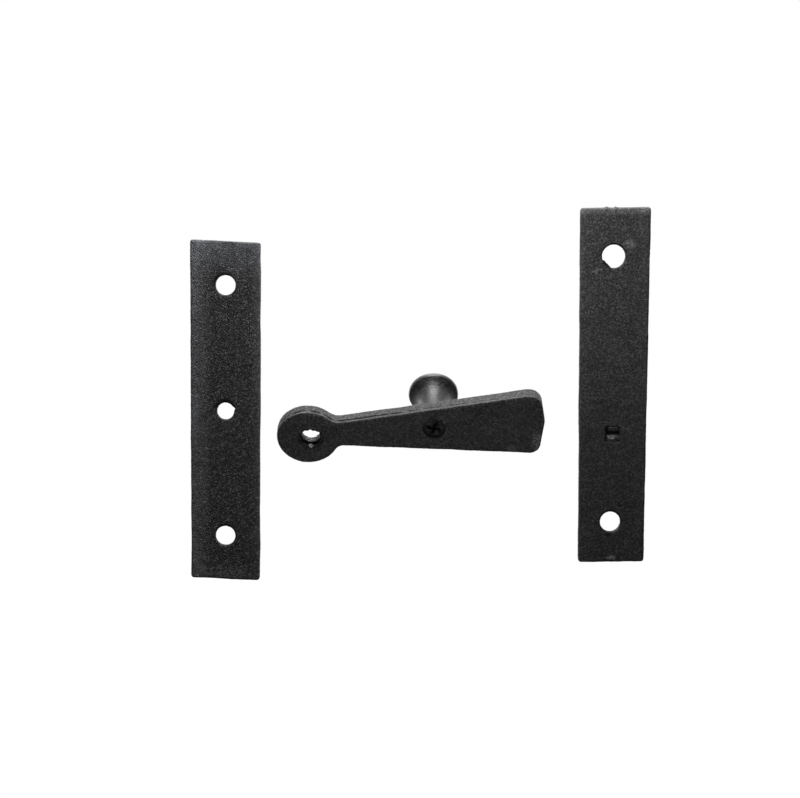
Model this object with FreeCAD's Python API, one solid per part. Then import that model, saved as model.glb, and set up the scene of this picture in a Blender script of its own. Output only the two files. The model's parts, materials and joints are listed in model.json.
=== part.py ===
import FreeCAD, Part
import math
import os

# Cupboard catch latch: latch plate, swinging arm with its knob, keeper plate with its hook.
# Millimetres. +X runs from the latch plate to the keeper plate, +Y from the plates' backs to
# their fronts, +Z is up. The origin is the middle of the latch plate's back face.

# Flat bar that both plates are cut from
BAR_WIDTH = 20.0
BAR_THICKNESS = 3.0
BAR_CORNER_RADIUS = 0.8
EDGE_BREAK = 0.35

# Latch plate
LATCH_LENGTH = 96.6
LATCH_FOOT_NARROWING = 0.4
LATCH_END_SKEW_DEG = 2.3
LATCH_SCREW_SPACING = 71.6
LATCH_SCREW_HOLE = 5.65
PIVOT_HOLE = 4.85
PIVOT_NICK_RADIUS = 0.45
PIVOT_NICK_ANGLE_DEG = 15.0

# Keeper plate
KEEPER_LENGTH = 101.2
KEEPER_FOOT_NARROWING = 1.3
KEEPER_END_SKEW_DEG = -1.2
KEEPER_SCREW_SPACING = 75.8
KEEPER_SCREW_DROP = 1.1
KEEPER_SCREW_ASIDE = -0.35
KEEPER_LOWER_HOLE = 5.8
KEEPER_UPPER_HOLE = 6.7
KEEPER_HOLE_FLAT = 0.2
KEEPER_HOLE_FLAT_ANGLE_DEG = 225.0

# Latch arm
ARM_THICKNESS = 4.0
EYE_DIAMETER = 17.9
EYE_SET_BACK = 0.75
EYE_LIFT = 0.35
EYE_BORE = 6.2
ARM_LIFT = 1.05
ARM_REACH = 66.7
NECK_PLACE = 8.5
NECK_WIDTH = 8.3
NECK_UPPER_FILLET = 4.0
NECK_LOWER_FILLET = 2.5
TIP_WIDTH = 21.3
TIP_UPPER_SET_BACK = 1.0
TIP_LOWER_SET_BACK = 2.0
TIP_POINT_RISE = 0.6
TIP_UPPER_ROUND = 4.0
TIP_LOWER_ROUND = 3.2
TIP_POINT_ROUND = 3.0

# Pivot bush that the arm turns on
BUSH_HOLE = 5.2
BUSH_CLEARANCE = 0.05
BUSH_SET_BACK = 2.2
BUSH_PROUD = 0.4

# Knob
KNOB_PLACE = 35.2
KNOB_LIFT = 1.3
KNOB_DIAMETER = 14.4
KNOB_RIM_HEIGHT = 12.4
KNOB_RIM_THICKNESS = 1.3
KNOB_CROWN = 1.6
KNOB_NECK_DIAMETER = 6.4
KNOB_NECK_HEIGHT = 4.0
KNOB_FOOT_DIAMETER = 8.4
KNOB_RIM_BREAK = 0.3

# Knob screw, sunk into the arm's back
SCREW_HEAD_DIAMETER = 6.3
SCREW_HEAD_ANGLE_DEG = 90.0
SCREW_SHANK_DIAMETER = 3.0
SCREW_GRIP = 6.0
SCREW_SINK = 0.15
SCREW_END_CHAMFER = 0.5
SEAT_CLEARANCE = 0.03
SHANK_CLEARANCE = 0.15
THREAD_CLEARANCE = 0.05
KNOB_HOLE_RUNOUT = 1.0
CROSS_SPAN = 3.8
CROSS_WIDTH = 1.0
CROSS_DEPTH = 1.3
CROSS_ANGLE_DEG = 14.0

# Keeper hook, staked into the keeper plate by its tenon
HOOK_REST_PLACE = 61.0
HOOK_REST_DROP = 2.4
HOOK_WIDTH = 6.0
HOOK_LEG_HEIGHT = 5.0
HOOK_ARM_CLEARANCE = 1.2
HOOK_NOSE_THICKNESS = 4.6
HOOK_NOSE_RISE = 9.0
HOOK_NOSE_SLOPE = 2.0
HOOK_NOSE_ROUND = 0.9
HOOK_HEEL_ROUND = 2.4
HOOK_THROAT_ROUND = 0.8
TENON_WIDTH = 3.8
TENON_HEIGHT = 4.2
TENON_CHAMFER = 0.6
TENON_CLEARANCE = 0.06
TENON_SINK = 0.15
STAKE_WIDTH = 3.0
STAKE_DEPTH = 1.5
STAKE_RISE = 0.3

# Where the pieces of the set lie
EYE_PLACE_X = 24.35
EYE_PLACE_Y = 0.0
EYE_PLACE_Z = -7.8
ARM_ROLL_DEG = 31.0
ARM_RISE_DEG = 3.95
KEEPER_PLACE_X = 110.35
KEEPER_PLACE_Z = 7.9

# Room that a cutting tool runs past the face it cuts
OVERCUT = 1.0

# How near two lengths are taken as equal
NEAR = 0.001

AXIS_X = FreeCAD.Vector(1, 0, 0)
AXIS_Y = FreeCAD.Vector(0, 1, 0)
ORIGIN = FreeCAD.Vector(0, 0, 0)


def prism(points, depth, start_y=0.0):
    """Solid from (x, z) points, running along +Y."""
    corners = [FreeCAD.Vector(x, start_y, z) for x, z in points]
    return Part.Face(Part.makePolygon(corners + corners[:1])).extrude(AXIS_Y * depth)


def rod(diameter, start_y, end_y, x=0.0, z=0.0):
    """Cylinder along Y."""
    return Part.makeCylinder(diameter / 2, end_y - start_y, FreeCAD.Vector(x, start_y, z), AXIS_Y)


def through_hole(diameter, thickness, x=0.0, z=0.0):
    """Tool for a hole through a piece whose back lies at y = 0."""
    return rod(diameter, -OVERCUT, thickness + OVERCUT, x, z)


def edges_along(shape, axis):
    """Straight edges that run along an axis."""
    chosen = []
    for edge in shape.Edges:
        run = edge.Vertexes[-1].Point - edge.Vertexes[0].Point
        if isinstance(edge.Curve, Part.Line) and run.cross(axis).Length < NEAR:
            chosen.append(edge)
    return chosen


def rim_edges(shape, thickness):
    """Edges that lie in the back face, y = 0, or in the front face."""
    chosen = []
    for edge in shape.Edges:
        low, high = edge.BoundBox.YMin, edge.BoundBox.YMax
        if high - low < NEAR and min(abs(low), abs(low - thickness)) < NEAR:
            chosen.append(edge)
    return chosen


def ring_edges(shape, height):
    """Round edges about Y at a height, without the edges of no length on the axis."""
    chosen = []
    for edge in shape.Edges:
        if not edge.Degenerated and isinstance(edge.Curve, Part.Circle):
            if abs(edge.Curve.Center.y - height) < NEAR:
                chosen.append(edge)
    return chosen


def bar(length, skew_deg, foot_narrowing):
    """Flat bar standing along Z, a little narrower at its foot, with both ends cut a little off square."""
    half_head = BAR_WIDTH / 2
    half_foot = (BAR_WIDTH - foot_narrowing) / 2
    half_length = length / 2
    skew = half_head * math.tan(math.radians(skew_deg))
    blank = prism([(-half_foot, skew - half_length), (half_foot, -skew - half_length),
                   (half_head, half_length - skew), (-half_head, half_length + skew)],
                  BAR_THICKNESS)
    return blank.makeFillet(BAR_CORNER_RADIUS, edges_along(blank, AXIS_Y))


def latch_plate():
    """Plate with two screw holes and, between them, the pivot hole with its nicked edge."""
    plate = bar(LATCH_LENGTH, LATCH_END_SKEW_DEG, LATCH_FOOT_NARROWING)
    for side in (-1, 1):
        plate = plate.cut(through_hole(LATCH_SCREW_HOLE, BAR_THICKNESS, z=side * LATCH_SCREW_SPACING / 2))
    plate = plate.cut(through_hole(PIVOT_HOLE, BAR_THICKNESS))
    plate = plate.makeChamfer(EDGE_BREAK, rim_edges(plate, BAR_THICKNESS))
    angle = math.radians(PIVOT_NICK_ANGLE_DEG)
    return plate.cut(through_hole(2 * PIVOT_NICK_RADIUS, BAR_THICKNESS,
                                  PIVOT_HOLE / 2 * math.cos(angle), PIVOT_HOLE / 2 * math.sin(angle)))


def keeper_hole_height(side):
    """Height of the keeper plate's lower (-1) or upper (1) screw hole."""
    return side * KEEPER_SCREW_SPACING / 2 - KEEPER_SCREW_DROP


def flat_in_hole():
    """Sliver that stays in the wall of the keeper plate's upper screw hole."""
    radius = KEEPER_UPPER_HOLE / 2
    sliver = Part.makeBox(KEEPER_HOLE_FLAT + OVERCUT, BAR_THICKNESS - 2 * EDGE_BREAK, 2 * radius,
                          FreeCAD.Vector(radius - KEEPER_HOLE_FLAT, EDGE_BREAK, -radius))
    sliver = sliver.common(through_hole(KEEPER_UPPER_HOLE + EDGE_BREAK, BAR_THICKNESS))
    sliver.rotate(ORIGIN, AXIS_Y, -KEEPER_HOLE_FLAT_ANGLE_DEG)
    sliver.translate(FreeCAD.Vector(KEEPER_SCREW_ASIDE, 0, keeper_hole_height(1)))
    return sliver


def arm_half_width(place):
    """Half of the arm's width at a distance from the eye."""
    slope = (TIP_WIDTH - NECK_WIDTH) / 2 / (ARM_REACH - NECK_PLACE)
    return NECK_WIDTH / 2 + slope * (place - NECK_PLACE)


def tenon_height():
    """Height of the tenon's middle: the leg above it carries the tip of the arm, a little below level."""
    underside = ARM_LIFT - arm_half_width(HOOK_REST_PLACE)
    return underside - HOOK_REST_DROP - HOOK_LEG_HEIGHT / 2


def tenon_block(clearance, start_y):
    """The tenon, or with a clearance the tool for its hole."""
    width = TENON_WIDTH + 2 * clearance
    height = TENON_HEIGHT + 2 * clearance
    return Part.makeBox(width, BAR_THICKNESS - start_y, height,
                        FreeCAD.Vector(-width / 2, start_y, tenon_height() - height / 2))


def keeper_plate():
    """Plate with two screw holes and the square hole for the hook's tenon."""
    plate = bar(KEEPER_LENGTH, KEEPER_END_SKEW_DEG, KEEPER_FOOT_NARROWING)
    for side, diameter in ((-1, KEEPER_LOWER_HOLE), (1, KEEPER_UPPER_HOLE)):
        plate = plate.cut(through_hole(diameter, BAR_THICKNESS, KEEPER_SCREW_ASIDE, keeper_hole_height(side)))
    plate = plate.makeChamfer(EDGE_BREAK, rim_edges(plate, BAR_THICKNESS))
    plate = plate.fuse(flat_in_hole())
    return plate.cut(tenon_block(TENON_CLEARANCE, -OVERCUT)).removeSplitter()


def hook_side():
    """Side of the hook as (y, z) points: leg from the plate, then the nose turned up."""
    leg_top = tenon_height() + HOOK_LEG_HEIGHT / 2
    leg_foot = leg_top - HOOK_LEG_HEIGHT
    throat = BAR_THICKNESS + ARM_THICKNESS + HOOK_ARM_CLEARANCE
    front = throat + HOOK_NOSE_THICKNESS
    nose_top = leg_top + HOOK_NOSE_RISE
    return [(BAR_THICKNESS, leg_foot), (front, leg_foot), (front - HOOK_NOSE_SLOPE, nose_top),
            (throat, nose_top), (throat, leg_top), (BAR_THICKNESS, leg_top)]


def hook_rounds(body):
    """Rounds the hook's heel, its nose and the corner of its throat."""
    points = hook_side()
    rounds = [(points[1], HOOK_HEEL_ROUND), (points[2], HOOK_NOSE_ROUND),
              (points[3], HOOK_NOSE_ROUND), (points[4], HOOK_THROAT_ROUND)]
    for (y, z), radius in rounds:
        corner = [edge for edge in edges_along(body, AXIS_X)
                  if abs(edge.Vertexes[0].Point.y - y) + abs(edge.Vertexes[0].Point.z - z) < NEAR]
        body = body.makeFillet(radius, corner)
    return body


def keeper_hook():
    """Hook that catches the arm, with its tenon's end split by a chisel cut at the plate's back."""
    corners = [FreeCAD.Vector(-HOOK_WIDTH / 2, y, z) for y, z in hook_side()]
    body = Part.Face(Part.makePolygon(corners + corners[:1])).extrude(AXIS_X * HOOK_WIDTH)
    body = hook_rounds(body)
    tenon = tenon_block(0.0, TENON_SINK)
    tenon = tenon.makeChamfer(TENON_CHAMFER, edges_along(tenon, AXIS_Y))
    middle = tenon_height() + STAKE_RISE
    cut = [FreeCAD.Vector(-TENON_WIDTH, TENON_SINK, middle - STAKE_WIDTH / 2),
           FreeCAD.Vector(-TENON_WIDTH, TENON_SINK, middle + STAKE_WIDTH / 2),
           FreeCAD.Vector(-TENON_WIDTH, TENON_SINK + STAKE_DEPTH, middle)]
    groove = Part.Face(Part.makePolygon(cut + cut[:1])).extrude(AXIS_X * 2 * TENON_WIDTH)
    return body.fuse(tenon.cut(groove)).removeSplitter()


def arm_blank():
    """Flat arm: round eye set back and low, narrow neck, sides that spread to a wide, bluntly pointed tip."""
    upper = ARM_REACH - TIP_UPPER_SET_BACK
    lower = ARM_REACH - TIP_LOWER_SET_BACK
    tip = [((lower, ARM_LIFT - arm_half_width(lower)), TIP_LOWER_ROUND),
           ((ARM_REACH, ARM_LIFT + TIP_POINT_RISE), TIP_POINT_ROUND),
           ((upper, ARM_LIFT + arm_half_width(upper)), TIP_UPPER_ROUND)]
    root = [(0.0, ARM_LIFT + arm_half_width(0.0)), (0.0, ARM_LIFT - arm_half_width(0.0))]
    strip = prism([corner for corner, radius in tip] + root, ARM_THICKNESS)
    for (x, z), radius in tip:
        corner = [edge for edge in edges_along(strip, AXIS_Y)
                  if abs(edge.Vertexes[0].Point.x - x) + abs(edge.Vertexes[0].Point.z - z) < NEAR]
        strip = strip.makeFillet(radius, corner)
    eye = rod(EYE_DIAMETER, 0.0, ARM_THICKNESS, -EYE_SET_BACK, EYE_LIFT)
    blank = strip.fuse(eye).removeSplitter()
    for side, radius in ((-1, NECK_LOWER_FILLET), (1, NECK_UPPER_FILLET)):
        corner = [edge for edge in edges_along(blank, AXIS_Y)
                  if 0 < edge.Vertexes[0].Point.x < NECK_PLACE
                  and side * (edge.Vertexes[0].Point.z - ARM_LIFT) > 0]
        blank = blank.makeFillet(radius, corner[:1])
    return blank


def head_cone(clearance, top_y):
    """The screw's sunk head, or with a clearance the tool for its seat."""
    spread = math.tan(math.radians(SCREW_HEAD_ANGLE_DEG / 2))
    head_height = (SCREW_HEAD_DIAMETER - SCREW_SHANK_DIAMETER) / 2 / spread
    top_radius = SCREW_HEAD_DIAMETER / 2 + clearance + (SCREW_SINK - top_y) * spread
    foot_radius = SCREW_SHANK_DIAMETER / 2 + clearance
    return Part.makeCone(top_radius, foot_radius, SCREW_SINK + head_height - top_y,
                         FreeCAD.Vector(KNOB_PLACE, top_y, KNOB_LIFT), AXIS_Y)


def latch_arm():
    """The arm with its eye bored for the bush and its back sunk for the knob screw."""
    arm = arm_blank().cut(through_hole(EYE_BORE, ARM_THICKNESS))
    arm = arm.makeChamfer(EDGE_BREAK, rim_edges(arm, ARM_THICKNESS))
    arm = arm.cut(head_cone(SEAT_CLEARANCE, -OVERCUT))
    shank_hole = SCREW_SHANK_DIAMETER + 2 * SHANK_CLEARANCE
    return arm.cut(through_hole(shank_hole, ARM_THICKNESS, KNOB_PLACE, KNOB_LIFT))


def pivot_bush():
    """Sleeve in the eye: it stands proud in front and is set back behind."""
    outer = EYE_BORE - 2 * BUSH_CLEARANCE
    sleeve = rod(outer, BUSH_SET_BACK, ARM_THICKNESS + BUSH_PROUD)
    return sleeve.cut(rod(BUSH_HOLE, BUSH_SET_BACK - OVERCUT, ARM_THICKNESS + BUSH_PROUD + OVERCUT))


def knob():
    """Turned trumpet knob, drilled for its screw."""
    rim_top = KNOB_RIM_HEIGHT + KNOB_RIM_THICKNESS
    rim_radius = KNOB_DIAMETER / 2
    axis_foot = FreeCAD.Vector(0, 0, 0)
    foot = FreeCAD.Vector(KNOB_FOOT_DIAMETER / 2, 0, 0)
    neck = FreeCAD.Vector(KNOB_NECK_DIAMETER / 2, KNOB_NECK_HEIGHT, 0)
    rim_low = FreeCAD.Vector(rim_radius, KNOB_RIM_HEIGHT, 0)
    rim_high = FreeCAD.Vector(rim_radius, rim_top, 0)
    top = FreeCAD.Vector(0, rim_top + KNOB_CROWN, 0)
    crown_radius = (rim_radius ** 2 + KNOB_CROWN ** 2) / (2 * KNOB_CROWN)
    half_span = math.asin(rim_radius / crown_radius) / 2
    crown_middle = FreeCAD.Vector(crown_radius * math.sin(half_span),
                                  top.y - crown_radius * (1 - math.cos(half_span)), 0)
    stem = Part.Arc(foot, neck, rim_low).toShape()
    profile = Part.Wire([Part.makeLine(axis_foot, foot), stem, Part.makeLine(rim_low, rim_high),
                         Part.Arc(rim_high, crown_middle, top).toShape(), Part.makeLine(top, axis_foot)])
    body = Part.Face(profile).revolve(ORIGIN, AXIS_Y, 360)
    body = body.makeChamfer(KNOB_RIM_BREAK, ring_edges(body, KNOB_RIM_HEIGHT) + ring_edges(body, rim_top))
    hole = rod(SCREW_SHANK_DIAMETER + 2 * THREAD_CLEARANCE, -OVERCUT, SCREW_GRIP + KNOB_HOLE_RUNOUT)
    body = body.cut(hole)
    body.translate(FreeCAD.Vector(KNOB_PLACE, ARM_THICKNESS, KNOB_LIFT))
    return body


def knob_screw():
    """Sunk-head screw with a cross recess, run through the arm into the knob."""
    shank = rod(SCREW_SHANK_DIAMETER, SCREW_SINK, ARM_THICKNESS + SCREW_GRIP, KNOB_PLACE, KNOB_LIFT)
    end = ring_edges(shank, ARM_THICKNESS + SCREW_GRIP)
    screw = shank.makeChamfer(SCREW_END_CHAMFER, end).fuse(head_cone(0.0, SCREW_SINK))
    for turn in (0, 90):
        slot = Part.makeBox(CROSS_SPAN, CROSS_DEPTH + OVERCUT, CROSS_WIDTH,
                            FreeCAD.Vector(-CROSS_SPAN / 2, SCREW_SINK - OVERCUT, -CROSS_WIDTH / 2))
        slot.rotate(ORIGIN, AXIS_Y, turn + CROSS_ANGLE_DEG)
        slot.translate(FreeCAD.Vector(KNOB_PLACE, 0, KNOB_LIFT))
        screw = screw.cut(slot)
    return screw.removeSplitter()


def arm_placement():
    """Turns the arm's own frame, whose origin is the eye at the back face, to where the arm lies."""
    rise = FreeCAD.Rotation(AXIS_Y, -ARM_RISE_DEG)
    roll = FreeCAD.Rotation(AXIS_X, ARM_ROLL_DEG)
    return FreeCAD.Placement(FreeCAD.Vector(EYE_PLACE_X, EYE_PLACE_Y, EYE_PLACE_Z), roll.multiply(rise))


def build():
    """Makes each piece, sets it in its place and writes its STEP file."""
    at_origin = FreeCAD.Placement()
    at_keeper = FreeCAD.Placement(FreeCAD.Vector(KEEPER_PLACE_X, 0, KEEPER_PLACE_Z), FreeCAD.Rotation())
    at_eye = arm_placement()
    pieces = {"latch_plate": (latch_plate, at_origin), "keeper_plate": (keeper_plate, at_keeper),
              "keeper_hook": (keeper_hook, at_keeper), "pivot_bush": (pivot_bush, at_eye),
              "latch_arm": (latch_arm, at_eye), "knob": (knob, at_eye), "knob_screw": (knob_screw, at_eye)}
    os.makedirs("parts", exist_ok=True)
    for node, (make, place) in pieces.items():
        shape = make()
        shape.Placement = place.multiply(shape.Placement)
        shape.exportStep("parts/" + node + ".step")


build()
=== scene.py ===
import json
import math

import bmesh
import bpy
from mathutils import Matrix, Quaternion, Vector

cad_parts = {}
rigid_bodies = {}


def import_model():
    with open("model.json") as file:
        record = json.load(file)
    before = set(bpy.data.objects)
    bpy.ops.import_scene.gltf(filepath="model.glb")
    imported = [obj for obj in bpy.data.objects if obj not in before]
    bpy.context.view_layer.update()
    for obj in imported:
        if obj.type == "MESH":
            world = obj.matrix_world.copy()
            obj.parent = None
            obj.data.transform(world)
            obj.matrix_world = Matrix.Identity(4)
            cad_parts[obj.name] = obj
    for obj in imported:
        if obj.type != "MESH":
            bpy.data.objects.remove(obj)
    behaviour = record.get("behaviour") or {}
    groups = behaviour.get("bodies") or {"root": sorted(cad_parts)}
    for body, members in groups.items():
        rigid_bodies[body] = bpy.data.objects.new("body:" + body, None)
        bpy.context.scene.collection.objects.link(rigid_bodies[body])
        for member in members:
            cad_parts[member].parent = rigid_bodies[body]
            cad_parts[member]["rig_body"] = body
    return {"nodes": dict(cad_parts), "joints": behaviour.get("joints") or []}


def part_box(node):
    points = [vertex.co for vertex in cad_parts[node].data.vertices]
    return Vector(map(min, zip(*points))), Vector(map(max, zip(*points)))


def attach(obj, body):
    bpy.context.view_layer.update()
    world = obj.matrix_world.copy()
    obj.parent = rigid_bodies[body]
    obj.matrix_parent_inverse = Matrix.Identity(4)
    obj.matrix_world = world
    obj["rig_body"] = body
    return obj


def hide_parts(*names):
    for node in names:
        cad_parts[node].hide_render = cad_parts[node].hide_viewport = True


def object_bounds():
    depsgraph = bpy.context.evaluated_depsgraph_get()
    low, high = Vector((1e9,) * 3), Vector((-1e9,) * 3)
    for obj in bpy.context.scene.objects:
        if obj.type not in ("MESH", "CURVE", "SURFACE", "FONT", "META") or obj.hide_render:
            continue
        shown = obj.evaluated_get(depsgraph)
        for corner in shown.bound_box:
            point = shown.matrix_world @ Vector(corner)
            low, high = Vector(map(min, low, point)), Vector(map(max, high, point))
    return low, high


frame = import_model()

# Frame: one millimetre from the latch plate's width, and the arm's eye and directions from its hinge
CAD_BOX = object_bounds()
LATCH_LOW, LATCH_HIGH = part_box("latch_plate")
BAR_WIDTH_MM = 20.0
MM = (LATCH_HIGH.x - LATCH_LOW.x) / BAR_WIDTH_MM
EYE = Vector(frame["joints"][0]["pos_m"])
ARM_THROUGH = -Vector(frame["joints"][0]["axis"]).normalized()
ARM_DOWN = ARM_THROUGH.cross(Vector((1.0, 0.0, 0.0))).normalized()

# Picture: where the photograph's middle lies, how much it takes in, and from where it looks
PICTURE_MIDDLE = Vector((49.7, 0.0, 3.8)) * MM
PICTURE_WIDTH = 227.6 * MM
CAMERA_DISTANCE = 650.0 * MM
CAMERA_NEAR = 6.5 * MM
CAMERA_ELEVATION = math.radians(5.0)
CAMERA_ROLL = math.radians(0.35)
SENSOR_WIDTH_MM = 36.0

# Studio
FLOOR_DROP = 500.0 * MM
FLOOR_SPAN = 6000.0 * MM
FLOOR_FADE = (FLOOR_DROP, 2 * FLOOR_DROP)
FLOOR_PALE = (0.6, 0.6, 0.6, 1.0)
FLOOR_ROUGHNESS = 0.9
STUDIO_WHITE = (1.0, 1.0, 1.0, 1.0)
AMBIENT_STRENGTH = 0.05
BACKDROP_FADE = (0.0, 0.3)
LIGHTS = {
    "top light": {"place": (45.0, 50.0, 270.0), "size": 260.0, "power": 1.05},
    "face light": {"place": (55.0, -72.0, 130.0), "size": 110.0, "power": 0.37},
    "front light": {"place": (40.0, -380.0, -200.0), "size": 360.0, "power": 0.31},
    "far light": {"place": (50.0, 330.0, 300.0), "size": 260.0, "power": 0.75},
    "left light": {"place": (-260.0, 420.0, 0.0), "size": 200.0, "power": 0.4},
    "right light": {"place": (360.0, 420.0, 0.0), "size": 200.0, "power": 0.4},
}

# Coat's shape: fineness of the rebuilt surface, and how far the coat wanders and stands in grains
COAT_VOXEL = 0.26 * MM
FINE_VOXEL = 0.16 * MM
WANDER_SPAN = 9.0 * MM
WANDER_HEIGHT = 0.28 * MM
GRAIN_SPAN = 0.75 * MM
GRAIN_HEIGHT = 0.1 * MM
FINE_HEIGHT = 0.03 * MM
SCREW_COAT = 0.22 * MM
RAG_SPAN = 0.4 * MM
RAG_HEIGHT = 0.5 * MM
CLOUD_DEPTH = 1
BOTH_WAYS = 0.5
OUTWARD = 0.0
SOFTEN_FACTOR = 0.5
SOFTEN_STEPS = {"latch_plate": 2, "keeper_plate": 4, "latch_arm": 4, "keeper_hook": 3,
                "knob": 4, "knob_screw": 7, "pivot_bush": 1}

# Grains of each piece: their colour, how many to a metre, and how strong, sparse and lumpy they look
COATS = {
    "latch_plate": {"light": (0.075, 0.075, 0.0762, 1.0), "grains": 3200.0,
                    "contrast": 1.2, "sparse": 4.0, "lump": 0.55},
    "keeper_plate": {"light": (0.125, 0.125, 0.126, 1.0), "grains": 3000.0,
                     "contrast": 0.42, "sparse": 3.0, "lump": 0.35},
    "latch_arm": {"light": (0.27, 0.27, 0.27, 1.0), "grains": 3000.0,
                  "contrast": 0.32, "sparse": 3.0, "lump": 0.5},
    "knob_screw": {"light": (0.17, 0.17, 0.17, 1.0), "grains": 3000.0,
                   "contrast": 0.32, "sparse": 3.0, "lump": 0.5},
    "knob": {"light": (0.02, 0.02, 0.0202, 1.0), "grains": 2200.0,
             "contrast": 1.3, "sparse": 3.0, "lump": 0.125},
    "pivot_bush": {"light": (0.14, 0.14, 0.14, 1.0), "grains": 2400.0,
                   "contrast": 1.0, "sparse": 3.0, "lump": 0.25},
}
BUMP_HEIGHT = 0.42 * MM
GRAIN_SHINE = 0.9
CLUSTER_SHARE = 0.5
CLUSTER_TONE = (0.04, 0.16)
PATCH_SHARE = 0.06
COAT_ROUGHNESS = (0.5, 0.72)
COAT_SPECULAR = 0.14

# Edges of the plates: share and shift of the lighter side strips, height and tone of the top strip's painted
# highlight, and painted shade on a darker foot
EDGES = {
    "latch_plate": {"side": 1.2, "right_mm": 1.7, "top_mm": 11.0, "top_highlight_tone": (0.047, 0.0483, 0.0555, 1.0),
                    "foot": 0.0},
    "keeper_plate": {"side": 0.2, "right_mm": 0.0, "top_mm": 2.6, "top_highlight_tone": (0.11, 0.11, 0.11, 1.0),
                     "foot": 0.25},
}
SIDE_STRIP = 4.5 * MM
STRIP_SHARE = (0.3, 1.0)
TOP_FULL = 0.15
FOOT_BELOW = 15.0 * MM
FOOT_ABOVE = 12.0 * MM

# Noise of each mark: how many spots to a metre, detail and roughness, and between which values it shows
CLUSTER_DETAIL = (1.0, 0.5)
PATCH_NOISE = (130.0, 3.0, 0.6)
STRIP_NOISE = (300.0, 2.0, 0.5)
STRIP_BREAK = (0.2, 0.7)
RUB_AND_HIGHLIGHT_NOISE = (1100.0, 2.0, 0.6)
RUB_AND_HIGHLIGHT_BREAK = (0.35, 0.65)
LINE_NOISE = (260.0, 3.0, 0.6)
LINE_BREAK = (0.42, 0.54)
STREAK_NOISE = (1500.0, 2.0, 0.6)
RING_NOISE = (2200.0, 1.0, 0.5)
NOISE_SPAN = (0.3, 0.7)

# Fades
RISE = (0.0, 1.0)
FALL = (1.0, 0.0)

# Painted shade at the rims of holes and in gaps and recesses: right of and above the plate's middle or the
# screw's head, and radius
LATCH_HOLES_MM = [(-0.3, 36.45, 2.9), (-0.1, 0.95, 2.6), (0.0, -35.4, 2.85)]
KEEPER_HOLES_MM = [(-0.35, 36.9, 3.35), (-0.35, -38.7, 2.9)]
KEEPER_SHADE_SPOTS_MM = [(-1.9, -14.95, 0.35), (1.05, -15.25, 0.3), (-1.95, -12.4, 0.4), (1.65, -13.6, 0.35),
                  (-0.9, -42.4, 0.5)]
SCREW_SHADE_SPOTS_MM = [(-1.75, 0.75, 0.35), (1.6, -0.75, 0.3), (-0.85, -1.05, 0.3), (0.75, 1.75, 0.5),
                 (0.0, 0.5, 0.45)]
HOLE_SHADE = 0.45 * MM

# Places of rubbing, and on the hook painted highlights on the end of its tenon: right of and above the
# plate's middle, or the frame's origin for the arm, half sizes, share
LATCH_RUBS_MM = [(0.0, -46.3, 9.0, 2.6, 0.3), (-4.0, 46.8, 5.0, 1.6, 0.25)]
KEEPER_RUBS_MM = [(4.0, 40.2, 2.2, 1.5, 0.65), (-5.5, 32.5, 1.2, 0.5, 0.8), (-4.4, 33.05, 1.0, 0.45, 0.8),
                  (0.0, -49.25, 1.8, 0.75, 0.9)]
# painted highlights on the end of the hook's tenon, where it catches the light from above
HOOK_HIGHLIGHTS_MM = [(-0.2, -14.5, 1.8, 0.9, 1.0), (0.0, -12.5, 2.0, 1.0, 0.45), (0.0, -11.7, 1.5, 0.4, 1.0)]
ARM_RUBS_MM = [(88.7, -7.9, 1.6, 3.4, 0.7), (82.0, -10.2, 2.6, 1.0, 0.3)]
RUB_AND_HIGHLIGHT_EDGE = (0.2, 1.0)

# Beads where the coat ran together: right of and above the plate's middle, and radius
LATCH_BEADS_MM = [(-9.45, 48.2, 0.5), (9.4, -20.0, 0.6), (7.0, -47.6, 0.6)]
KEEPER_BEADS_MM = [(-2.6, 50.15, 0.75), (-0.1, 50.15, 0.75), (0.1, -49.2, 0.5), (1.4, -49.3, 0.45),
                   (2.6, 43.4, 0.5), (-1.8, 33.8, 0.5), (-2.5, 34.5, 0.5), (-3.2, 35.2, 0.5)]
BEAD_SINK = 0.6
BEAD_FINENESS = 3

# Beads in the eye: right of and below its axis, how far in from the arm's back, and radius
EYE_BEADS_MM = [(0.0, 3.0, 0.78, 0.65), (-0.9, -3.2, 0.3, 0.5), (0.75, -3.2, 0.3, 0.55),
                (1.75, -2.75, 0.3, 0.4)]
BEAD_EDGE = 1.15

# Arm: groove line with painted shade and arris with a painted highlight by the distance from its back,
# painted shade in the bore and on the screw seat by radius
LINE_START = (0.45 * MM, 0.65 * MM)
LINE_END = (0.95 * MM, 1.35 * MM)
LINE_FADE = (EYE.x + 28.0 * MM, EYE.x + 48.0 * MM)
LINE_FADED = (1.0, 0.2)
LINE_DEPTH = 3.0
ARRIS_START = (0.18 * MM, 0.3 * MM)
ARRIS_END = (0.42 * MM, 0.55 * MM)
ARRIS_SHARE = 0.7
ARM_HALF_THROUGH = 2.0 * MM
BORE_EDGE = (3.2 * MM, 3.9 * MM)
SEAT_EDGE = (2.9 * MM, 3.35 * MM)
SEAT_DROP = 0.05 * MM

# Knob screw: painted shade in its recess by depth, and on its lower rim by the distance from a point above
# its axis
RECESS_START = (0.3 * MM, 0.7 * MM)
SCREW_RIM = (2.7 * MM, 3.1 * MM)
SCREW_RIM_RISE = 0.75 * MM

# Painted shade in the chisel cut in the hook's tenon, by the distance from the keeper plate's back
CUT_START = 0.9 * MM
CUT_END = 1.2 * MM

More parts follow.
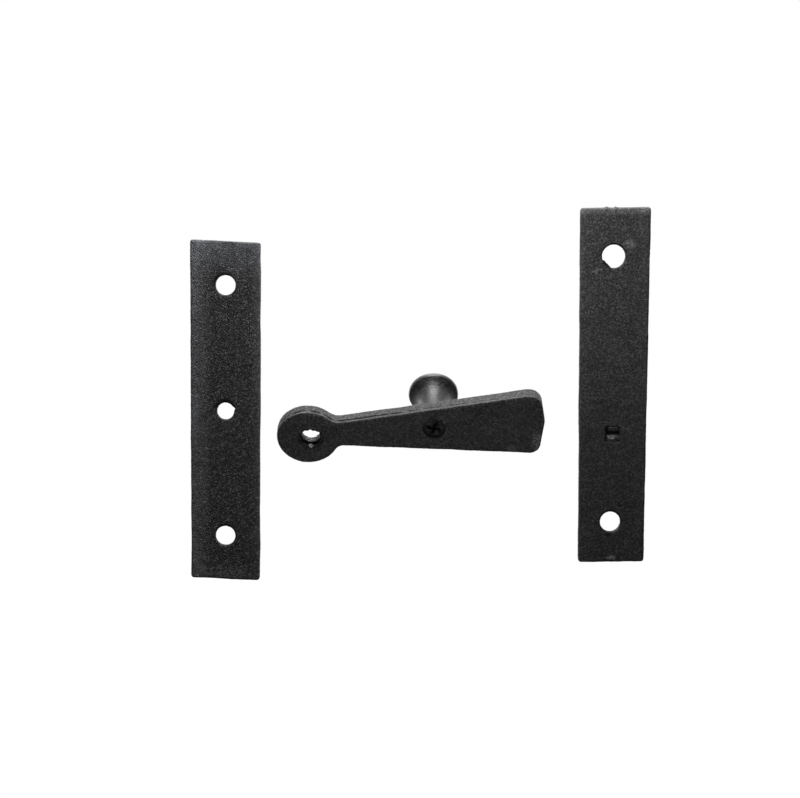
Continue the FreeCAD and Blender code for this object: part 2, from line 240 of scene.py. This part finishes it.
# Knob: painted highlight on its rim by radius, painted highlight on its neck and the knob's smoothness by
# the distance along the axis
KNOB_RIM = (6.95 * MM, 7.1 * MM)
KNOB_RIM_SHARE = 0.35
NECK_START = (-4.0 * MM, -0.8 * MM)
NECK_END = (0.2 * MM, 1.9 * MM)
NECK_FOOT_SHARE = 0.3
NECK_SHARE = 0.48
STREAK_STRETCH = 0.9
STREAK_SHARE = (0.5, 1.0)
KNOB_SMOOTH = (-3.5 * MM, -0.3 * MM)
KNOB_ROUGHNESS = (0.52, 0.31)
RING_HEIGHT = 2.0

# Bush
BUSH_ROUGHNESS = (0.35, 0.6)
BUSH_METALLIC = 0.5

# Tones
COAT_DARK = (0.0015, 0.0015, 0.0015, 1.0)
# tone of rubbed places, and of the painted highlights on the hook's tenon
RUB_AND_HIGHLIGHT_TONE = (0.17, 0.17, 0.17, 1.0)
ARM_RUB_TONE = (0.3, 0.3, 0.3, 1.0)
BAND_TONE = (0.043, 0.0435, 0.0465, 1.0)
# black for painted shade in holes, gaps, recesses, cuts and grooves
PAINTED_SHADE_BLACK = (0.004, 0.004, 0.004, 1.0)
# painted highlight on the bead in the eye
BEAD_HIGHLIGHT_TONE = (0.35, 0.35, 0.35, 1.0)
# painted highlight on the arm's arris
ARRIS_HIGHLIGHT_TONE = (0.16, 0.16, 0.16, 1.0)
KNOB_DARK = (0.004, 0.004, 0.0041, 1.0)
# painted highlight on the knob's rim and neck
KNOB_HIGHLIGHT_TONE = (0.11, 0.11, 0.11, 1.0)
BUSH_DARK = (0.015, 0.015, 0.015, 1.0)


def new_group(name, inputs, outputs, given_as="NodeSocketFloat"):
    """Empty shader group with named sockets, numbers unless the inputs are given as something else."""
    tree = bpy.data.node_groups.new(name, "ShaderNodeTree")
    for label in inputs:
        tree.interface.new_socket(label, in_out="INPUT", socket_type=given_as)
    for label in outputs:
        tree.interface.new_socket(label, in_out="OUTPUT", socket_type="NodeSocketFloat")
    return tree, tree.nodes.new("NodeGroupInput").outputs, tree.nodes.new("NodeGroupOutput").inputs


def put(tree, value, socket):
    """Links a socket, or sets a plain value."""
    if hasattr(value, "is_linked"):
        tree.links.new(value, socket)
    else:
        socket.default_value = value


def object_coords(tree):
    """The piece's own coordinates."""
    return tree.nodes.new("ShaderNodeTexCoord").outputs["Object"]


def object_axes(tree, coords="Object"):
    """The piece's own X, Y and Z, or those of other coordinates."""
    apart = tree.nodes.new("ShaderNodeSeparateXYZ")
    tree.links.new(tree.nodes.new("ShaderNodeTexCoord").outputs[coords], apart.inputs["Vector"])
    return apart.outputs


def noise_node(tree, coords, scale, detail, roughness):
    """Noise texture on given coordinates."""
    node = tree.nodes.new("ShaderNodeTexNoise")
    node.inputs["Detail"].default_value = detail
    node.inputs["Roughness"].default_value = roughness
    put(tree, scale, node.inputs["Scale"])
    tree.links.new(coords, node.inputs["Vector"])
    return node.outputs["Fac"]


def spread(tree, value, span, result):
    """Maps a value from one span to another, held at the ends."""
    node = tree.nodes.new("ShaderNodeMapRange")
    tree.links.new(value, node.inputs["Value"])
    for label, end in zip(("From Min", "From Max", "To Min", "To Max"), (*span, *result)):
        put(tree, end, node.inputs[label])
    return node.outputs["Result"]


def math_node(tree, operation, first, second=0.0):
    """One sum on two values; either may be a socket or a number."""
    node = tree.nodes.new("ShaderNodeMath")
    node.operation = operation
    put(tree, first, node.inputs[0])
    put(tree, second, node.inputs[1])
    return node.outputs["Value"]


def times(tree, product, *factors):
    """Product of several values."""
    for factor in factors:
        product = math_node(tree, "MULTIPLY", product, factor)
    return product


def band(tree, value, start, end):
    """One between a rise and a fall."""
    return times(tree, spread(tree, value, start, RISE), spread(tree, value, end, FALL))


def vector_node(tree, operation, first, second, output="Vector"):
    """One sum on two vectors; either may be a socket or a vector."""
    node = tree.nodes.new("ShaderNodeVectorMath")
    node.operation = operation
    put(tree, first, node.inputs[0])
    put(tree, second, node.inputs[1])
    return node.outputs[output]


def scaled(tree, vector, factor):
    """A vector times a value."""
    node = tree.nodes.new("ShaderNodeVectorMath")
    node.operation = "SCALE"
    put(tree, vector, node.inputs[0])
    tree.links.new(factor, node.inputs["Scale"])
    return node.outputs["Vector"]


def mix_colour(tree, factor, first, second, blend="MIX"):
    """Blend of two colours; each may be a socket or a colour."""
    node = tree.nodes.new("ShaderNodeMix")
    node.data_type = "RGBA"
    node.blend_type = blend
    tree.links.new(factor, node.inputs["Factor"])
    for label, value in (("A", first), ("B", second)):
        put(tree, value, [item for item in node.inputs if item.name == label and item.type == "RGBA"][0])
    return [item for item in node.outputs if item.type == "RGBA"][0]


def sand_grain_group():
    """Sandy coat: grains that stand up and catch the light, and slow patches of more and less coat."""
    tree, given, result = new_group("sand grain", ["Grains per Metre", "Contrast", "Sparseness"],
                                    ["Height", "Speckle", "Patch"])
    coords = object_coords(tree)
    cells = tree.nodes.new("ShaderNodeTexVoronoi")
    tree.links.new(coords, cells.inputs["Vector"])
    tree.links.new(given["Grains per Metre"], cells.inputs["Scale"])
    own = tree.nodes.new("ShaderNodeSeparateColor")
    tree.links.new(cells.outputs["Color"], own.inputs["Color"])
    shine = math_node(tree, "POWER", own.outputs["Red"], given["Sparseness"])
    shine = times(tree, shine, GRAIN_SHINE, given["Contrast"])
    clusters = times(tree, given["Grains per Metre"], CLUSTER_SHARE)
    cluster = spread(tree, noise_node(tree, coords, clusters, *CLUSTER_DETAIL), NOISE_SPAN, CLUSTER_TONE)
    patch = spread(tree, noise_node(tree, coords, *PATCH_NOISE), NOISE_SPAN, RISE)
    stands = math_node(tree, "SUBTRACT", own.outputs["Red"], cells.outputs["Distance"])
    tree.links.new(stands, result["Height"])
    tree.links.new(math_node(tree, "ADD", shine, cluster), result["Speckle"])
    tree.links.new(patch, result["Patch"])
    return tree


def edge_strip_group():
    """One along both long sides of an upright plate, where it is drawn lighter, and one along its top, where
    a painted highlight lies.
    """
    tree, given, result = new_group("edge strip", ["Middle", "Half Width", "Top", "Top Strip"],
                                    ["Side", "Top"])
    place = object_axes(tree)
    off = math_node(tree, "ABSOLUTE", math_node(tree, "SUBTRACT", place["X"], given["Middle"]))
    start = math_node(tree, "SUBTRACT", given["Half Width"], SIDE_STRIP)
    side = spread(tree, off, (start, given["Half Width"]), RISE)
    below = math_node(tree, "SUBTRACT", given["Top"], place["Z"])
    full = times(tree, given["Top Strip"], TOP_FULL)
    top = spread(tree, below, (full, given["Top Strip"]), FALL)
    broken = spread(tree, noise_node(tree, object_coords(tree), *STRIP_NOISE), STRIP_BREAK, STRIP_SHARE)
    tree.links.new(times(tree, side, broken), result["Side"])
    tree.links.new(times(tree, top, broken), result["Top"])
    return tree


def rub_and_highlight_group():
    """One at a place of rubbing on an upright face, and on the hook's tenon at a painted highlight, broken
    up as by rubbing.
    """
    tree, given, result = new_group("rub and highlight mark", ["Right", "Above", "Half Length", "Half Height"], ["Mask"])
    place = object_axes(tree)
    squares = []
    for axis, middle, half in (("X", "Right", "Half Length"), ("Z", "Above", "Half Height")):
        off = math_node(tree, "SUBTRACT", place[axis], given[middle])
        share = math_node(tree, "DIVIDE", off, given[half])
        squares.append(times(tree, share, share))
    near = spread(tree, math_node(tree, "ADD", *squares), RUB_AND_HIGHLIGHT_EDGE, FALL)
    broken = spread(tree, noise_node(tree, object_coords(tree), *RUB_AND_HIGHLIGHT_NOISE), RUB_AND_HIGHLIGHT_BREAK, RISE)
    tree.links.new(times(tree, near, broken), result["Mask"])
    return tree


def hole_shade_group():
    """One round a place on an upright face, which leaves a crescent where a hole lies a little lower."""
    tree, given, result = new_group("hole shade", ["Right", "Above", "Radius"], ["Mask"])
    place = object_axes(tree)
    across = math_node(tree, "SUBTRACT", place["X"], given["Right"])
    upward = math_node(tree, "SUBTRACT", place["Z"], given["Above"])
    squares = [times(tree, step, step) for step in (across, upward)]
    distance = math_node(tree, "SQRT", math_node(tree, "ADD", *squares))
    end = math_node(tree, "ADD", given["Radius"], HOLE_SHADE)
    tree.links.new(spread(tree, distance, (given["Radius"], end), FALL), result["Mask"])
    return tree


def round_about_group():
    """How far a place lies along an axis, from a point on it, and how far from that axis."""
    tree, given, result = new_group("round about", ["Point", "Axis"], ["Through", "From Axis"],
                                    "NodeSocketVector")
    away = vector_node(tree, "SUBTRACT", object_coords(tree), given["Point"])
    through = vector_node(tree, "DOT_PRODUCT", away, given["Axis"], "Value")
    across = vector_node(tree, "SUBTRACT", away, scaled(tree, given["Axis"], through))
    tree.links.new(through, result["Through"])
    tree.links.new(vector_node(tree, "LENGTH", across, Vector(), "Value"), result["From Axis"])
    return tree


def shared_groups():
    """The groups that the finishes share."""
    return {"grain": sand_grain_group(), "strip": edge_strip_group(), "rub_and_highlight": rub_and_highlight_group(),
            "hole": hole_shade_group(), "round": round_about_group()}


def new_material(name):
    """Material with a bare Principled shader."""
    material = bpy.data.materials.new(name)
    material.use_nodes = True
    return material, material.node_tree, material.node_tree.nodes["Principled BSDF"]


def place_group(tree, group, **values):
    """Puts a group in a material with its own values."""
    node = tree.nodes.new("ShaderNodeGroup")
    node.node_tree = group
    for label, value in values.items():
        node.inputs[label.replace("_", " ")].default_value = value
    return node.outputs


def place_grain(tree, group, coat):
    """Puts the grains of a piece's coat in its material."""
    return place_group(tree, group, Grains_per_Metre=coat["grains"], Contrast=coat["contrast"],
                       Sparseness=coat["sparse"])


def add_bump(tree, shader, height, lump):
    """Feeds a height into the shader's normal."""
    bump = tree.nodes.new("ShaderNodeBump")
    bump.inputs["Distance"].default_value = BUMP_HEIGHT * lump
    tree.links.new(height, bump.inputs["Height"])
    tree.links.new(bump.outputs["Normal"], shader.inputs["Normal"])


def sandy_coat(name, grain_group, coat):
    """Black sandy powder coat, with its height and speckled colour left for the piece to finish."""
    material, tree, shader = new_material(name)
    grain = place_grain(tree, grain_group, coat)
    tree.links.new(spread(tree, grain["Patch"], RISE, COAT_ROUGHNESS), shader.inputs["Roughness"])
    shader.inputs["Specular IOR Level"].default_value = COAT_SPECULAR
    tone = math_node(tree, "ADD", times(tree, grain["Patch"], PATCH_SHARE), grain["Speckle"])
    return material, tree, shader, grain["Height"], mix_colour(tree, tone, COAT_DARK, coat["light"])


def with_rubs_and_highlights(tree, group, colour, tone, middle, rubs_and_highlights_mm):
    """Colour with its places of rubbing, and on the hook's tenon with its painted highlights."""
    for right, above, length, tall, share in rubs_and_highlights_mm:
        rub_and_highlight = place_group(tree, group, Right=middle.x + right * MM, Above=middle.z + above * MM,
                          Half_Length=length * MM, Half_Height=tall * MM)
        colour = mix_colour(tree, times(tree, rub_and_highlight["Mask"], share), colour, tone)
    return colour


def with_shades(tree, group, colour, middle, holes_mm):
    """Colour with painted shade at its hole rims and in its gaps and recesses."""
    for right, above, radius in holes_mm:
        shade = place_group(tree, group, Right=middle.x + right * MM, Above=middle.z + above * MM,
                            Radius=radius * MM)
        colour = mix_colour(tree, shade["Mask"], colour, PAINTED_SHADE_BLACK)
    return colour


def with_edges(tree, group, colour, edges, low, high):
    """Colour of a plate with its lighter sides and a painted highlight along its top."""
    strip = place_group(tree, group, Middle=(low.x + high.x) / 2 + edges["right_mm"] * MM,
                        Half_Width=(high.x - low.x) / 2, Top=high.z, Top_Strip=edges["top_mm"] * MM)
    colour = mix_colour(tree, times(tree, strip["Side"], edges["side"]), colour, BAND_TONE, "ADD")
    # painted highlight along the plate's top, where it faces the light from above
    return mix_colour(tree, strip["Top"], colour, edges["top_highlight_tone"], "ADD")


def plate_coat(name, groups, node, rubs_and_highlights_mm, holes_mm):
    """Coat of a plate, with lighter sides and a painted highlight along its top, and on its back rubs,
    painted shade at hole rims, gaps and recesses, and painted shade on a darker lower half.
    """
    coat = COATS[node]
    edges = EDGES[node]
    material, tree, shader, height, colour = sandy_coat(name, groups["grain"], coat)
    add_bump(tree, shader, height, coat["lump"])
    low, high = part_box(node)
    middle = (low + high) / 2
    colour = with_edges(tree, groups["strip"], colour, edges, low, high)
    place = object_axes(tree)
    # painted shade: the back drawn darker toward the foot, as the light from above falls off
    foot = spread(tree, place["Z"], (middle.z - FOOT_BELOW, middle.z + FOOT_ABOVE), (edges["foot"], 0.0))
    marked = mix_colour(tree, foot, colour, COAT_DARK)
    marked = with_rubs_and_highlights(tree, groups["rub_and_highlight"], marked, RUB_AND_HIGHLIGHT_TONE, middle, rubs_and_highlights_mm)
    # painted shade at hole rims, gaps and recesses
    marked = with_shades(tree, groups["hole"], marked, middle, holes_mm)
    behind = math_node(tree, "LESS_THAN", place["Y"], middle.y)
    tree.links.new(mix_colour(tree, behind, colour, marked), shader.inputs["Base Color"])
    return material


def arm_line(tree, through):
    """Broken dark line along the arm's sides, a little in from its back, which fades toward the tip; it
    dents the bump and is painted as shade.
    """
    broken = spread(tree, noise_node(tree, object_coords(tree), *LINE_NOISE), LINE_BREAK, RISE)
    fading = spread(tree, object_axes(tree)["X"], LINE_FADE, LINE_FADED)
    return times(tree, band(tree, through, LINE_START, LINE_END), broken, fading)


def near_bead(tree):
    """One on the bead at the foot of the eye's bore, which carries a painted highlight."""
    place, radius = eye_beads()[0]
    away = vector_node(tree, "SUBTRACT", object_coords(tree), place)
    distance = vector_node(tree, "LENGTH", away, Vector(), "Value")
    return spread(tree, distance, (radius, BEAD_EDGE * radius), FALL)


def arm_coat(name, groups):
    """Coat of the arm: a dark groove line behind the back arris, dented in the bump and darkened with
    painted shade, a painted highlight on the arris, painted shade in the bore and on the seat for the knob
    screw, and a painted highlight on the bead in the eye.
    """
    coat = COATS["latch_arm"]
    material, tree, shader, height, colour = sandy_coat(name, groups["grain"], coat)
    eye = place_group(tree, groups["round"], Point=EYE, Axis=ARM_THROUGH)
    seat_middle = middle_of("knob") + ARM_DOWN * SEAT_DROP
    screw = place_group(tree, groups["round"], Point=seat_middle, Axis=ARM_THROUGH)
    line = arm_line(tree, eye["Through"])
    add_bump(tree, shader, math_node(tree, "SUBTRACT", height, times(tree, line, LINE_DEPTH)), coat["lump"])
    # painted highlight on the arm's arris
    arris = times(tree, band(tree, eye["Through"], ARRIS_START, ARRIS_END), ARRIS_SHARE)
    colour = mix_colour(tree, arris, colour, ARRIS_HIGHLIGHT_TONE)
    # painted shade in the groove line, in the bore and on the screw seat
    bore = spread(tree, eye["From Axis"], BORE_EDGE, FALL)
    seat = spread(tree, screw["From Axis"], SEAT_EDGE, FALL)
    dark = math_node(tree, "MAXIMUM", line, math_node(tree, "MAXIMUM", bore, seat))
    colour = mix_colour(tree, dark, colour, PAINTED_SHADE_BLACK)
    rubbed_and_highlit = with_rubs_and_highlights(tree, groups["rub_and_highlight"], colour, ARM_RUB_TONE, Vector(), ARM_RUBS_MM)
    behind = math_node(tree, "LESS_THAN", eye["Through"], ARM_HALF_THROUGH)
    colour = mix_colour(tree, behind, colour, rubbed_and_highlit)
    # painted highlight on the bead at the foot of the eye's bore
    tree.links.new(mix_colour(tree, near_bead(tree), colour, BEAD_HIGHLIGHT_TONE), shader.inputs["Base Color"])
    return material


def hook_coat(name, groups):
    """Coat of the keeper hook, with a painted highlight on the end of its tenon, and painted shade down in
    the chisel cut and in the gaps round the tenon.
    """
    coat = COATS["keeper_plate"]
    material, tree, shader, height, colour = sandy_coat(name, groups["grain"], coat)
    add_bump(tree, shader, height, coat["lump"])
    low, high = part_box("keeper_plate")
    middle = (low + high) / 2
    depth = object_axes(tree)["Y"]
    behind = math_node(tree, "LESS_THAN", depth, high.y)
    # painted highlights on the end of the tenon
    rubbed_and_highlit = with_rubs_and_highlights(tree, groups["rub_and_highlight"], colour, RUB_AND_HIGHLIGHT_TONE, middle, HOOK_HIGHLIGHTS_MM)
    colour = mix_colour(tree, behind, colour, rubbed_and_highlit)
    # painted shade in the chisel cut
    cut = spread(tree, depth, (low.y + CUT_START, low.y + CUT_END), RISE)
    colour = mix_colour(tree, times(tree, cut, behind), colour, PAINTED_SHADE_BLACK)
    # painted shade in the gaps round the tenon
    colour = with_shades(tree, groups["hole"], colour, middle, KEEPER_SHADE_SPOTS_MM)
    tree.links.new(colour, shader.inputs["Base Color"])
    return material


def screw_head():
    """Place where the knob's axis meets the arm's back."""
    middle = middle_of("knob")
    return middle - ARM_THROUGH * (middle - EYE).dot(ARM_THROUGH)


def screw_coat(name, groups):
    """Coat of the knob screw, with painted shade down in its recess, at the recess's ragged ends and on its
    lower rim.
    """
    coat = COATS["knob_screw"]
    material, tree, shader, height, colour = sandy_coat(name, groups["grain"], coat)
    add_bump(tree, shader, height, coat["lump"])
    raised = screw_head() - ARM_DOWN * SCREW_RIM_RISE
    screw = place_group(tree, groups["round"], Point=raised, Axis=ARM_THROUGH)
    # painted shade in the screw's recess, at the recess's ends and on its lower rim
    deep = spread(tree, screw["Through"], RECESS_START, RISE)
    low_rim = spread(tree, screw["From Axis"], SCREW_RIM, RISE)
    dark = math_node(tree, "MAXIMUM", deep, low_rim)
    colour = with_shades(tree, groups["hole"], colour, screw_head(), SCREW_SHADE_SPOTS_MM)
    tree.links.new(mix_colour(tree, dark, colour, PAINTED_SHADE_BLACK), shader.inputs["Base Color"])
    return material


def painted_neck_highlight(tree, through):
    """Painted highlight in a band round the knob's neck, broken into streaks along it."""
    squeezed = scaled(tree, ARM_THROUGH * STREAK_STRETCH, through)
    lengthwise = vector_node(tree, "SUBTRACT", object_coords(tree), squeezed)
    streaks = spread(tree, noise_node(tree, lengthwise, *STREAK_NOISE), NOISE_SPAN, STREAK_SHARE)
    upper = spread(tree, through, NECK_END, (NECK_SHARE, 0.0))
    lower = spread(tree, through, NECK_START, (NECK_FOOT_SHARE, 1.0))
    return times(tree, upper, lower, streaks)


def satin_coat(name, groups):
    """Smoother black coat of the turned knob, with painted highlights on its rim and neck, and faint turning
    rings.
    """
    coat = COATS["knob"]
    material, tree, shader = new_material(name)
    grain = place_grain(tree, groups["grain"], coat)
    colour = mix_colour(tree, grain["Speckle"], KNOB_DARK, coat["light"])
    turned = place_group(tree, groups["round"], Point=middle_of("knob"), Axis=ARM_THROUGH)
    # painted highlight on the knob's rim and neck
    rim = spread(tree, turned["From Axis"], KNOB_RIM, (0.0, KNOB_RIM_SHARE))
    painted_highlight = math_node(tree, "MAXIMUM", rim, painted_neck_highlight(tree, turned["Through"]))
    tree.links.new(mix_colour(tree, painted_highlight, colour, KNOB_HIGHLIGHT_TONE), shader.inputs["Base Color"])
    rough = spread(tree, turned["Through"], KNOB_SMOOTH, KNOB_ROUGHNESS)
    tree.links.new(rough, shader.inputs["Roughness"])
    along = scaled(tree, Vector((1.0, 0.0, 0.0)), turned["Through"])
    rings = times(tree, noise_node(tree, along, *RING_NOISE), RING_HEIGHT)
    add_bump(tree, shader, math_node(tree, "ADD", grain["Height"], rings), coat["lump"])
    return material


def bush_steel(name, groups):
    """Dark, slightly grained steel of the bush."""
    coat = COATS["pivot_bush"]
    material, tree, shader = new_material(name)
    grain = place_grain(tree, groups["grain"], coat)
    colour = mix_colour(tree, grain["Speckle"], BUSH_DARK, coat["light"])
    tree.links.new(colour, shader.inputs["Base Color"])
    tree.links.new(spread(tree, grain["Patch"], RISE, BUSH_ROUGHNESS), shader.inputs["Roughness"])
    shader.inputs["Metallic"].default_value = BUSH_METALLIC
    add_bump(tree, shader, grain["Height"], coat["lump"])
    return material


def middle_of(node):
    """Mean place of a CAD node's points, which lies on the axis of a turned piece."""
    points = [vertex.co for vertex in frame["nodes"][node].data.vertices]
    return sum(points, Vector()) / len(points)


def cloud_texture(name, span):
    """Cloud texture for displacement."""
    texture = bpy.data.textures.new(name, "CLOUDS")
    texture.noise_scale = span
    texture.noise_depth = CLOUD_DEPTH
    return texture


def coat_layers():
    """Layers that move a surface: name, texture, height, and the texture's level that stays in place."""
    wander = cloud_texture("coat wander", WANDER_SPAN)
    grains = cloud_texture("coat grains", GRAIN_SPAN)
    rags = cloud_texture("bush rags", RAG_SPAN)
    return {
        "rough": [("wander", wander, WANDER_HEIGHT, BOTH_WAYS), ("grains", grains, GRAIN_HEIGHT, BOTH_WAYS)],
        "fine": [("grains", grains, FINE_HEIGHT, BOTH_WAYS)],
        "clogged": [("coat", grains, SCREW_COAT, OUTWARD)],
        "ragged": [("rags", rags, RAG_HEIGHT, BOTH_WAYS)],
    }


def displace(obj, name, texture, height, mid_level):
    """Moves the surface along its normals by a texture."""
    modifier = obj.modifiers.new(name, "DISPLACE")
    modifier.texture = texture
    modifier.texture_coords = "LOCAL"
    modifier.strength = height
    modifier.mid_level = mid_level


def with_beads(mesh, beads):
    """Adds beads of coat to a mesh, to be joined with it when its surface is rebuilt."""
    work = bmesh.new()
    work.from_mesh(mesh)
    for place, radius in beads:
        bmesh.ops.create_icosphere(work, subdivisions=BEAD_FINENESS, radius=radius,
                                   matrix=Matrix.Translation(place))
    work.to_mesh(mesh)
    work.free()


def plate_beads(node, beads_mm):
    """Places of a plate's beads, sunk into its back face."""
    low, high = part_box(node)
    middle = (low + high) / 2
    beads = []
    for right, above, radius in beads_mm:
        place = Vector((middle.x + right * MM, low.y + BEAD_SINK * radius * MM, middle.z + above * MM))
        beads.append((place, radius * MM))
    return beads


def eye_beads():
    """Beads of coat in the eye's bore, the one at its foot first."""
    beads = []
    for right, down, through, radius in EYE_BEADS_MM:
        place = EYE + Vector((right, 0.0, 0.0)) * MM + ARM_DOWN * down * MM + ARM_THROUGH * through * MM
        beads.append((place, radius * MM))
    return beads


def coated(node, voxel, layers, beads=()):
    """Piece that stands for a CAD node, its surface rebuilt finely and moved by the layers of its coat."""
    source = frame["nodes"][node]
    obj = bpy.data.objects.new(node + "_coated", source.data.copy())
    bpy.context.scene.collection.objects.link(obj)
    with_beads(obj.data, beads)
    remesh = obj.modifiers.new("even", "REMESH")
    remesh.mode = "VOXEL"
    remesh.voxel_size = voxel
    remesh.use_smooth_shade = True
    soften = obj.modifiers.new("soften", "SMOOTH")
    soften.factor = SOFTEN_FACTOR
    soften.iterations = SOFTEN_STEPS[node]
    for label, texture, height, mid_level in layers:
        displace(obj, label, texture, height, mid_level)
    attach(obj, source["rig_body"])
    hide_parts(node)
    return obj


def dress(obj, material):
    """Gives a piece its finish."""
    obj.data.materials.clear()
    obj.data.materials.append(material)


def dress_latch_plate(groups, layers):
    """Latch plate under its glittering coat."""
    coat = plate_coat("latch plate coat", groups, "latch_plate", LATCH_RUBS_MM, LATCH_HOLES_MM)
    beads = plate_beads("latch_plate", LATCH_BEADS_MM)
    dress(coated("latch_plate", COAT_VOXEL, layers["rough"], beads), coat)


def dress_keeper_plate(groups, layers):
    """Keeper plate under its duller coat."""
    holes_mm = KEEPER_HOLES_MM + KEEPER_SHADE_SPOTS_MM
    coat = plate_coat("keeper plate coat", groups, "keeper_plate", KEEPER_RUBS_MM, holes_mm)
    beads = plate_beads("keeper_plate", KEEPER_BEADS_MM)
    dress(coated("keeper_plate", COAT_VOXEL, layers["rough"], beads), coat)


def dress_keeper_hook(groups, layers):
    """Keeper hook with its staked tenon."""
    coat = hook_coat("hook coat", groups)
    dress(coated("keeper_hook", FINE_VOXEL, layers["fine"]), coat)


def dress_latch_arm(groups, layers):
    """Latch arm with the beads in its eye."""
    coat = arm_coat("arm coat", groups)
    dress(coated("latch_arm", COAT_VOXEL, layers["rough"], eye_beads()), coat)


def dress_knob(groups, layers):
    """Turned knob."""
    dress(coated("knob", FINE_VOXEL, layers["fine"]), satin_coat("knob coat", groups))


def dress_knob_screw(groups, layers):
    """Screw that holds the knob, its recess half clogged by the coat."""
    coat = screw_coat("screw coat", groups)
    dress(coated("knob_screw", FINE_VOXEL, layers["clogged"]), coat)


def dress_pivot_bush(groups, layers):
    """Bush with its ragged lip."""
    dress(coated("pivot_bush", FINE_VOXEL, layers["ragged"]), bush_steel("bush steel", groups))


def dress_set():
    """Dresses every piece of the latch."""
    groups = shared_groups()
    layers = coat_layers()
    for dress_piece in (dress_latch_plate, dress_keeper_plate, dress_keeper_hook, dress_latch_arm,
                        dress_knob, dress_knob_screw, dress_pivot_bush):
        dress_piece(groups, layers)


def seen_directly(tree, coords, fade):
    """One for what the eye or a clear body shows, and for the studio's far side in reflections."""
    path = tree.nodes.new("ShaderNodeLightPath")
    far_side = spread(tree, object_axes(tree, coords)["Y"], fade, RISE)
    mirrored = times(tree, path.outputs["Is Glossy Ray"], far_side)
    seen = math_node(tree, "MAXIMUM", path.outputs["Is Camera Ray"], mirrored)
    return math_node(tree, "MAXIMUM", seen, path.outputs["Is Transmission Ray"])


def studio_world():
    """Soft pale surroundings that look white."""
    world = bpy.data.worlds.new("studio")
    bpy.context.scene.world = world
    world.use_nodes = True
    tree = world.node_tree
    ambient = tree.nodes["Background"]
    ambient.inputs["Color"].default_value = STUDIO_WHITE
    ambient.inputs["Strength"].default_value = AMBIENT_STRENGTH
    white = tree.nodes.new("ShaderNodeBackground")
    white.inputs["Color"].default_value = STUDIO_WHITE
    mix = tree.nodes.new("ShaderNodeMixShader")
    tree.links.new(seen_directly(tree, "Generated", BACKDROP_FADE), mix.inputs["Fac"])
    tree.links.new(ambient.outputs["Background"], mix.inputs[1])
    tree.links.new(white.outputs["Background"], mix.inputs[2])
    tree.links.new(mix.outputs["Shader"], tree.nodes["World Output"].inputs["Surface"])


def studio_floor():
    """Plain pale floor well below the set."""
    height = CAD_BOX[0][2] - FLOOR_DROP
    half = FLOOR_SPAN / 2
    mesh = bpy.data.meshes.new("floor")
    corners = [(-half, -half, height), (half, -half, height), (half, half, height), (-half, half, height)]
    mesh.from_pydata(corners, [], [(0, 1, 2, 3)])
    floor = bpy.data.objects.new("floor", mesh)
    bpy.context.scene.collection.objects.link(floor)
    material, tree, shader = new_material("floor")
    shader.inputs["Base Color"].default_value = FLOOR_PALE
    shader.inputs["Roughness"].default_value = FLOOR_ROUGHNESS
    shader.inputs["Emission Color"].default_value = STUDIO_WHITE
    tree.links.new(seen_directly(tree, "Object", FLOOR_FADE), shader.inputs["Emission Strength"])
    floor.data.materials.append(material)


def studio_lights():
    """Soft square lights aimed at the picture's middle."""
    for name, light in LIGHTS.items():
        data = bpy.data.lights.new(name, "AREA")
        data.size = light["size"] * MM
        data.energy = light["power"]
        lamp = bpy.data.objects.new(name, data)
        lamp.location = Vector(light["place"]) * MM
        lamp.rotation_euler = (PICTURE_MIDDLE - lamp.location).to_track_quat("-Z", "Y").to_euler()
        bpy.context.scene.collection.objects.link(lamp)


def picture_camera():
    """Camera at the photograph's angle and framing."""
    data = bpy.data.cameras.new("camera")
    data.sensor_width = SENSOR_WIDTH_MM
    data.lens = SENSOR_WIDTH_MM * CAMERA_DISTANCE / PICTURE_WIDTH
    data.clip_start = CAMERA_NEAR
    camera = bpy.data.objects.new("camera", data)
    away = Vector((0.0, -math.cos(CAMERA_ELEVATION), math.sin(CAMERA_ELEVATION)))
    camera.location = PICTURE_MIDDLE + away * CAMERA_DISTANCE
    roll = Quaternion((0.0, 0.0, 1.0), CAMERA_ROLL)
    camera.rotation_euler = ((-away).to_track_quat("-Z", "Y") @ roll).to_euler()
    bpy.context.scene.collection.objects.link(camera)
    bpy.context.scene.camera = camera


bpy.context.scene.view_settings.view_transform = "Standard"
dress_set()
studio_world()
studio_floor()
studio_lights()
picture_camera()
